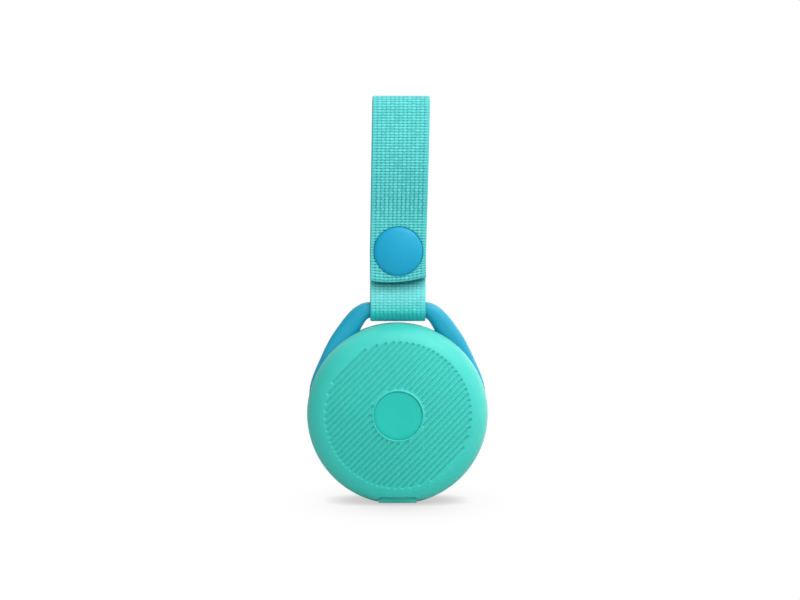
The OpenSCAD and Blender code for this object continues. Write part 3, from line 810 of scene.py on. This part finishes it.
MINUS = icon_bar(1.0, 0.17)
PLAY = [(-1.3, -0.85), (0.15, 0.0), (-1.3, 0.85)]
ICONS = {
    "volume_up": [MINUS] + [icon_bar(0.17, 0.415, 0, y) for y in (0.585, -0.585)],
    "volume_down": [MINUS],
    "play": [PLAY] + [icon_bar(0.17, 0.8, x) for x in (0.65, 1.3)],
    "power": [icon_ring(0.85, 0.3, -235, 55), icon_bar(0.16, 0.5, 0, 0.65)],
    "pairing": [icon_ring(0.6, 0.26, 0, 359.9, x) for x in (-0.62, 0.85)],
}


def build_key(name, right, along):
    """A key's cap with the skirt that holds it in, and the raised icon on it."""
    turn = -KEY_LINE if right else 180 + KEY_LINE
    top = BAND_R + KEY_PROUD
    cap = drum_pad(
        f"cap_{name}", KEY_W - 0.03, KEY_H - 0.03, 0.75, 37.6, top, 0.4, turn, along, dish=0.12
    )
    skirt = drum_pad(
        f"skirt_{name}", KEY_W + 0.7, KEY_H + 0.33, 0.5, 37.42, RING_R - 0.07, 0.1, turn, along
    )
    join([cap, skirt])
    smooth(cap, 35)
    bm = bmesh.new()
    for outline in ICONS[name]:
        flat = np.array(outline)[:, ::-1] * [1, -1]  # the key's length runs along the drum
        low, high = drum(flat, top - ICON_ROOT, along), drum(flat, top + ICON_PROUD, along)
        verts = [bm.verts.new(p) for p in row(turn_z(np.vstack([low, high]), turn))]
        n = len(flat)
        for i in range(n):
            j = (i + 1) % n
            bm.faces.new((verts[i], verts[j], verts[n + j], verts[n + i]))
        bm.faces.new(verts[:n])
        bm.faces.new(verts[n:])
    bmesh.ops.recalc_face_normals(bm, faces=bm.faces)
    mesh = bpy.data.meshes.new(f"icon_{name}")
    bm.to_mesh(mesh)
    bm.free()
    icon = linked(f"icon_{name}", mesh)
    bevel(icon, 0.05, 2)
    finish(icon, "key_blue", f"key_{name}")
    return finish(cap, "key_blue", f"key_{name}", f"key_{name}")


def join(objects):
    """Joins meshes into the first object."""
    bm = bmesh.new()
    for obj in objects:
        bm.from_mesh(obj.data)
    bm.to_mesh(objects[0].data)
    bm.free()
    for obj in objects[1:]:
        bpy.data.objects.remove(obj)


# ---------- port cover ----------

PORT_TURN = -50.0
PORT_Z = -8.7
PORT_MID = 3.1  # the pocket's middle, as an angle from the port's middle


def build_port_cover():
    """A rounded plug with a thin lip to pull it open by."""
    turn = PORT_TURN - 0.1
    lid_r, lip_r = BODY_R - 0.02, BODY_R + 0.12
    lid = drum_pad("port_lid", 6.95, 3.35, 1.3, 41.5, lid_r, 0.35, turn, z=PORT_Z, dish=0.25)
    lip = drum_pad("port_lip", 1.5, 1.9, 0.7, 42.2, lip_r, 0.3, turn, along=-4.9, z=PORT_Z)
    plug = drum_pad("port_plug", 3.2, 1.8, 0.7, 39.6, 41.8, 0.1, PORT_TURN, z=PORT_Z)
    for part in (lip, plug):
        finish(part, "foot_teal", "port_cover")
    return finish(lid, "foot_teal", "port_cover", "port_cover")


# ---------- strap ----------

STRAP_T = 1.5
STRAP_W = 26.2
WRAP_R = 4.75  # of the webbing's middle as it goes round the bar
SNAP_STACK = 2.6  # what the snap keeps open between the flap and the tail
FLAP_Z = WRAP_R + STRAP_T + SNAP_STACK
HALF_SEP = (FLAP_Z + WRAP_R) / 2
FOLD_R, SHOULDER_R, SHOULDER_A = 6.8, 110.0, 12.0
BELLY_R, LEAN_R = 170.0, 80.0
BAR_Y = 49.0
TAIL_Y = 88.0
FLAP_END_Y = 63.2
SPLIT_BEFORE_FOLD = 16.0  # how far down the back ply the strap's two pieces meet
COLUMNS = 13
SELVEDGE = 0.45
INNER_HALF = STRAP_W / 2 - SELVEDGE
COL_PITCH = (STRAP_W - 2 * SELVEDGE) / COLUMNS
ROW_PITCH = 1.32
ROW_POINTS = 5
# Where points lie across a column, on the outer face and on the coarser inner one.
OUTER_FACE, INNER_FACE = (0, 0.1, 0.24, 0.5, 0.76, 0.9), (0, 0.24, 0.76)
YARN_DEPTH, YARN_RELIEF = 0.53, 0.21  # half the thickness in a crevice, and a crown's rise


def strap_path():
    """The whole webbing seen from the side, as distances along it and (z, y, heading) at each.

    It runs from the tail's end down round the bar, up the back, over the fold and down to the
    flap's end. Heading is measured from straight up towards the front. The last value is how far
    along the top of the fold lies.
    """
    bar_y = JOINTS["strap_swing"]["pos_m"][2] / MM - BODY_Z
    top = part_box("strap_back")[1][2] / MM - BODY_Z
    sa = math.radians(SHOULDER_A)
    bulge = FOLD_R * math.cos(sa) + SHOULDER_R * (1 - math.cos(sa)) - HALF_SEP
    lean = math.acos(1 - bulge / (BELLY_R + LEAN_R))
    rise = (BELLY_R + LEAN_R) * math.sin(lean)
    rise += SHOULDER_R * math.sin(sa) + FOLD_R * (1 - math.sin(sa))
    leg_y = top - STRAP_T / 2 - rise
    half = math.pi / 2 - sa
    runs = [  # the length of each run, and how far it turns
        (TAIL_Y - bar_y, 0),
        (WRAP_R * math.pi, math.pi),
        (leg_y - bar_y, 0),
        (LEAN_R * lean, -lean),
        (BELLY_R * lean, lean),
        (SHOULDER_R * sa, sa),
        (FOLD_R * half, half),
        (FOLD_R * half, half),
        (SHOULDER_R * sa, sa),
        (BELLY_R * lean, lean),
        (LEAN_R * lean, -lean),
        (leg_y - FLAP_END_Y, 0),
    ]
    total = sum(length for length, _ in runs)
    fold_at = sum(length for length, _ in runs[:7])
    count = round(total / (ROW_PITCH / ROW_POINTS)) + 1
    s = np.linspace(0, total, count)
    path = np.zeros((count, 3))
    z, y, heading, at = WRAP_R, TAIL_Y, math.pi, 0.0
    for length, turn in runs:
        inside = (s >= at - 1e-9) & (s <= at + length + 1e-9)
        f = (s[inside] - at) / length
        if turn:
            r = length / turn
            h = heading + turn * f
            zs = z + r * (math.cos(heading) - np.cos(h))
            ys = y + r * (np.sin(h) - math.sin(heading))
            path[inside] = np.column_stack([zs, ys, h])
            z += r * (math.cos(heading) - math.cos(heading + turn))
            y += r * (math.sin(heading + turn) - math.sin(heading))
            heading += turn
        else:
            d = length * f
            zs, ys = z + d * math.sin(heading), y + d * math.cos(heading)
            path[inside] = np.column_stack([zs, ys, np.full(len(d), heading)])
            z += length * math.sin(heading)
            y += length * math.cos(heading)
        at += length
    return s, path, fold_at


def weave_relief(across, s, upright):
    """0 in the deepest crevice to 1 on a yarn's crown.

    across is measured from the strap's middle and s along it. upright is how much the gaps
    between columns show over the gaps between rows.
    """
    col = (across + INNER_HALF) / COL_PITCH
    column, a = np.floor(col), col - np.floor(col) - 0.5
    # Rows wander a little from one column to the next, as beaten-up weft does.
    rowed = s / ROW_PITCH + 0.05 * np.sin(2.4 * column + 0.9 * s)
    row_at, b = np.floor(rowed), rowed - np.floor(rowed) - 0.5
    sway = 0.09 * np.cos(math.pi * row_at + 1.1 * np.sin(1.7 * column))
    beside = 1 - smoothstep(0.05, 0.24, 0.5 - np.abs(a + sway))
    between = 1 - smoothstep(0.05, 0.3, 0.5 - np.abs(b))
    crown = 1 - 0.5 * beside * between - (0.1 + 0.26 * upright) * beside
    crown = crown - (0.34 - 0.24 * upright) * between
    scatter = np.sin(12.9898 * column + 78.233 * row_at) * 43758.5453
    uneven = 0.84 + 0.16 * (scatter - np.floor(scatter))
    # The outer half of each outer column is the smoother, tighter selvedge.
    from_edge = COL_PITCH * 0.62, COL_PITCH * 0.38
    outer = smoothstep(INNER_HALF - from_edge[0], INNER_HALF - from_edge[1], np.abs(across))
    return np.clip(crown * uneven, 0, 1) * (1 - outer) + outer * (0.86 - 0.25 * between)


def strap_shift(y):
    """How far the strap hangs to the right of the middle at a height."""
    return 0.25 + 1.55 * np.maximum((y - 77.0) / 74.0, 0)


def strap_spread(y):
    """The webbing is a touch wider where it isn't drawn in by the bar."""
    return 1 + 0.035 * np.clip((y - 55.0) / 95.0, 0, 1)


def painted_light_along(y, heading, s):
    """Painted light and shade along the strap: lighter facing up and on the tail, darker facing down."""
    up = np.clip(np.sin(heading), DARKEST_PAINTED_SHADE, 0.04)
    tail = s < TAIL_Y - BAR_Y + 9.0
    return np.where(tail, up + 0.42 * smoothstep(48.0, 57.0, y), up)


def under_wrap(y, s):
    """Where the webbing turns under the bar: its colour is painted a more saturated teal there, standing in for
    light from its other ply.
    """
    return np.where(s < TAIL_Y - BAR_Y + 12.0, 1 - smoothstep(43.5, 53.0, y), 0)


def columns(fractions):
    """Where points lie across one face of the strap, from its left edge to its right."""
    edge = np.array([-STRAP_W / 2, -STRAP_W / 2 + 0.08, -STRAP_W / 2 + 0.25])
    yarns = [-INNER_HALF + COL_PITCH * (c + f) for c in range(COLUMNS) for f in fractions]
    return np.concatenate([edge, yarns, [INNER_HALF], -edge[::-1]])


def webbing_grid():
    """Every point of the webbing, row by row, with the values its material reads.

    A row runs across the outer face and back across the inner one.
    """
    s, path, fold_at = strap_path()
    across, inside = columns(OUTER_FACE), columns(INNER_FACE)
    loop_x = np.concatenate([across, inside[-2:0:-1]])
    side = np.concatenate([np.ones(len(across)), -np.ones(len(inside) - 2)])
    side[0] = side[len(across) - 1] = 0
    z, y, h = path.T
    # The far end of the flap is cut a little unevenly and its corners lift.
    near_end = smoothstep(s[-1] - 12.0, s[-1], s)
    k = loop_x / (STRAP_W / 2)
    end_shift = (FLAP_END_Y - (62.3 + 1.5 * k**2 + 0.9 * k))[None, :] * near_end[:, None]
    lift = (0.55 * np.abs(k) ** 2.5 + 0.15 * k)[None, :] * near_end[:, None]
    rim = np.clip((STRAP_W / 2 - np.abs(loop_x)) / 0.6, 0, 1)
    rounding = np.sqrt(1 - (1 - rim) ** 2)
    # Painted light and shade along the strap, and painted shade along its left edge.
    lit = painted_light_along(y, h, s)[:, None] - 0.45 * smoothstep(12.55, 13.0, -loop_x)[None, :]
    upright = 1 - smoothstep(-0.17, -0.02, painted_light_along(y, h, s))[:, None]
    along = s[:, None] + np.zeros_like(loop_x)[None, :]
    relief = weave_relief(loop_x[None, :], along, upright)
    # The cut ends are fused smooth.
    fused = smoothstep(s[-1] - 0.9, s[-1] - 0.2, s)[:, None]
    fused = fused + (1 - smoothstep(0.2, 0.9, s))[:, None]
    relief = relief * (1 - fused) + 0.62 * fused
    half = rounding[None, :] * (YARN_DEPTH + YARN_RELIEF * relief)
    nz, ny = -np.cos(h), np.sin(h)  # out of the strap's outer face
    offset = half * side[None, :]
    zz = z[:, None] + nz[:, None] * offset + end_shift * np.sin(h)[:, None]
    yy = y[:, None] + ny[:, None] * offset + end_shift * np.cos(h)[:, None]
    zz = zz + lift
    xx = loop_x[None, :] * strap_spread(y)[:, None] + strap_shift(y)[:, None]
    where = np.stack([loop_x + np.zeros_like(along), along, np.zeros_like(along)], -1)
    wrapped = under_wrap(y, s)[:, None] + np.zeros_like(along)
    values = {"relief": relief, "lit": lit, "wrapped": wrapped}
    # Its two pieces meet in a crevice between rows.
    split_s = math.floor((fold_at - SPLIT_BEFORE_FOLD) / ROW_PITCH) * ROW_PITCH
    return np.stack([xx, yy, zz], -1), where, values, int(np.searchsorted(s, split_s))


def build_webbing():
    """The strap, as two pieces that meet on the back ply: the lower one rides on the strap's body, the upper one
    is left unattached.
    """
    grid, where, values, split = webbing_grid()
    n = grid.shape[1]
    pieces = []
    for name, rows in (
        ("webbing_lower", slice(0, split + 1)),
        ("webbing_upper", slice(split, len(grid))),
    ):
        points = grid[rows].reshape(-1, 3)
        obj = new_object(name, row(points), closed_tube(len(grid[rows]), n), 80)
        for key, value in values.items():
            float_attribute(obj, key, value[rows].ravel())
        at = obj.data.attributes.new("weave_at", "FLOAT_VECTOR", "POINT")
        at.data.foreach_set("vector", where[rows].astype(np.float32).ravel())
        pieces.append(obj)
    lower, upper = pieces
    finish(lower, "webbing_teal", "strap", "strap_back")
    finish(upper, "webbing_teal", None, "strap_flap")
    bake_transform(upper)


CAP_DOME_R = 30.0
CAP_SHIFT = 0.35  # the cap sits in the middle of the strap, which hangs to the right


def build_snap_cap():
    """The snap's domed cap, with a soft shoulder."""
    lo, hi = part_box("snap_cap")
    back = FLAP_Z + STRAP_T / 2
    top = -lo[1] / MM
    r = (hi[0] - lo[0]) / 2 / MM
    y = (lo[2] + hi[2]) / 2 / MM - BODY_Z
    profile = [(0, top)]
    for q in (2, 4, 6, 8, 9, 9.7):
        profile.append((q, top - (CAP_DOME_R - math.sqrt(CAP_DOME_R * CAP_DOME_R - q * q))))
    shoulder = profile[-1][1]
    for q, drop in ((10.35, 0.28), (10.9, 0.6), (11.3, 0.92), (r, 1.2)):
        profile.append((q, shoulder - drop))
    profile += [(r - 0.02, back + 0.25), (r - 0.15, back + 0.05), (r - 0.4, back)]
    profile += [(9.4, back), (0, back)]
    points, faces = turned(profile, CAP_SEGMENTS)
    points = points + [CAP_SHIFT, y, 0]
    obj = new_object("snap_cap_dome", row(points), faces)
    return finish(obj, "snap_blue", "flap", "snap_cap")


# ---------- stage ----------


def camera_only(n, seen, other):
    """Picks a shader for camera rays and another for every other ray."""
    mix = n.add("MixShader")
    n.set(mix.inputs[0], n.add("LightPath").outputs["Is Camera Ray"])
    n.set(mix.inputs[1], other)
    n.set(mix.inputs[2], seen)
    return mix.outputs[0]


FLOOR_SIZE = 8.0  # half its width, in metres
FLOOR_BOUNCE = (0.85, 0.85, 0.85)
POOL_SIZE = (0.027, 0.05, 1.0)
POOL_DEPTH = 0.23


def build_floor():
    """A white floor. The camera sees it glow white with a painted shadow under the body; other rays see a plain
    floor that throws light back up at the object.
    """
    mesh = bpy.data.meshes.new("floor")
    size = FLOOR_SIZE
    corners = [(-size, -size, 0), (size, -size, 0), (size, size, 0), (-size, size, 0)]
    mesh.from_pydata(corners, [], [(0, 1, 2, 3)])
    floor = linked("floor", mesh)
    n = Nodes("floor_white")
    # Painted contact shadow where the object comes close to the floor.
    near = n.add("AmbientOcclusion", samples=16, Distance=0.012).outputs["AO"]
    contact = n.ramp(near, 0.3, 1.0, 0.72, 1.0)
    # Painted shadow: a broad soft pool under the body, like the one an overhead softbox leaves.
    pool = n.add("VectorMath", operation="LENGTH")
    spread = n.add("VectorMath", operation="DIVIDE")
    n.set(spread.inputs[0], n.place())
    spread.inputs[1].default_value = POOL_SIZE
    n.set(pool.inputs[0], spread.outputs[0])
    distance = n.math("POWER", pool.outputs["Value"], 2.0)
    falloff = n.math("POWER", 2.718, n.math("MULTIPLY", distance, -1.0))
    soft = n.math("SUBTRACT", 1.0, n.math("MULTIPLY", falloff, POOL_DEPTH))
    seen = n.add("Emission", Strength=n.math("MULTIPLY", contact, soft))
    n.shader(Base_Color=FLOOR_BOUNCE, Roughness=0.9, Specular_IOR_Level=0.0)
    out = n.tree.nodes["Material Output"]
    n.set(out.inputs["Surface"], camera_only(n, seen.outputs[0], n.bsdf.outputs[0]))
    mesh.materials.append(n.material)
    floor.visible_glossy = False


# The tent's brightness, how it rises towards a direction, and what reflections see in its place.
SKY = 0.28
SKY_TILT = (0.07, -0.06, 0.0)
SKY_FRONT = 1.4  # extra light from the front and the back, where the tent's big diffusers hang
GLOSS_TILT = (2.8, 0.5, 3.8)
GLOSS_LIMIT = 3.4
SOFTBOX_AT = (0.52, -0.6, 1.1)
SOFTBOX_SIZE = (0.9, 0.7)
SOFTBOX_POWER = 8.8
SOFTBOX_AIM = (0, 0, 0.09)


def aimed(direction):
    """The rotation that points a lamp or a camera along a direction."""
    return direction.to_track_quat("-Z", "Y").to_euler()


def build_lights():
    """A white tent with one large softbox, above to the right and in front."""
    world = bpy.data.worlds.new("studio")
    bpy.context.scene.world = world
    world.use_nodes = True
    world.cycles.sampling_method = "NONE"  # so that the tent can tell reflections from soft light
    tree = world.node_tree
    background = tree.nodes["Background"]
    link, new = tree.links.new, tree.nodes.new
    direction = new("ShaderNodeTexCoord").outputs["Generated"]
    rays = new("ShaderNodeLightPath").outputs

    def gradient(tilt, level=0.0, ends=0.0):
        """A strength that rises towards tilt, and by ends to the front and the back."""
        dot = new("ShaderNodeVectorMath")
        dot.operation = "DOT_PRODUCT"
        dot.inputs[1].default_value = tilt
        link(direction, dot.inputs[0])
        depth = new("ShaderNodeSeparateXYZ")
        link(direction, depth.inputs[0])
        square = new("ShaderNodeMath")
        square.operation = "MULTIPLY"
        link(depth.outputs["Y"], square.inputs[0])
        link(depth.outputs["Y"], square.inputs[1])
        banked = new("ShaderNodeMath")
        banked.operation = "MULTIPLY_ADD"
        link(square.outputs[0], banked.inputs[0])
        banked.inputs[1].default_value = ends
        banked.inputs[2].default_value = level
        total = new("ShaderNodeMath")
        link(banked.outputs[0], total.inputs[1])
        link(dot.outputs["Value"], total.inputs[0])
        limit = new("ShaderNodeClamp")
        limit.inputs["Max"].default_value = GLOSS_LIMIT
        link(total.outputs[0], limit.inputs["Value"])
        return limit.outputs[0]

    def choose(ray, other, seen):
        """One strength for a kind of ray and another for the rest."""
        mix = new("ShaderNodeMix")
        link(rays[ray], mix.inputs["Factor"])
        link(other, mix.inputs["A"])
        if isinstance(seen, float):
            mix.inputs["B"].default_value = seen
        else:
            link(seen, mix.inputs["B"])
        return mix.outputs["Result"]

    # Reflections see the tent brighter above and to the right, and dark below.
    tent = choose("Is Glossy Ray", gradient(SKY_TILT, SKY, SKY_FRONT), gradient(GLOSS_TILT))
    link(choose("Is Camera Ray", tent, 1.0), background.inputs["Strength"])
    background.inputs["Color"].default_value = (1, 1, 1, 1)
    data = bpy.data.lights.new("softbox", "AREA")
    data.shape = "RECTANGLE"
    data.size, data.size_y = SOFTBOX_SIZE
    data.energy = SOFTBOX_POWER
    lamp = linked("softbox", data)
    lamp.location = SOFTBOX_AT
    lamp.rotation_euler = aimed(Vector(SOFTBOX_AIM) - lamp.location)


CAMERA_AZIMUTH, CAMERA_ELEVATION = -1.2, 4.4
CAMERA_DISTANCE = 1.058
CAMERA_LENS = 100.0
AIM = (1.3, 53.6)  # mm right of and above the middle of the body


def build_camera():
    """The view from the front: about a metre off, a little above the body and to its left."""
    az, el = math.radians(CAMERA_AZIMUTH), math.radians(CAMERA_ELEVATION)
    centre = Vector((0, 0, BODY_Z * MM))
    away = Vector((math.sin(az) * math.cos(el), -math.cos(az) * math.cos(el), math.sin(el)))
    data = bpy.data.cameras.new("camera")
    data.lens = CAMERA_LENS
    data.sensor_width = 36.0
    data.clip_start = 0.01
    camera = linked("camera", data)
    camera.location = centre + away * CAMERA_DISTANCE
    aim = centre + Vector((AIM[0] * MM, 0, AIM[1] * MM))
    camera.rotation_euler = aimed(aim - camera.location)
    bpy.context.scene.camera = camera


repaint_cad()
build_front_cover()
build_rear_shell()
build_rear_panel()
build_centre_disc()
build_foot()
build_loop()
for key, right, along in (
    ("volume_up", True, KEY_STEP),
    ("play", True, 0.0),
    ("volume_down", True, -KEY_STEP),
    ("power", False, -KEY_STEP),
    ("pairing", False, KEY_STEP),
):
    build_key(key, right, along)
build_port_cover()
build_webbing()
build_snap_cap()
build_floor()
build_lights()
build_camera()
bpy.context.scene.view_settings.view_transform = "Standard"
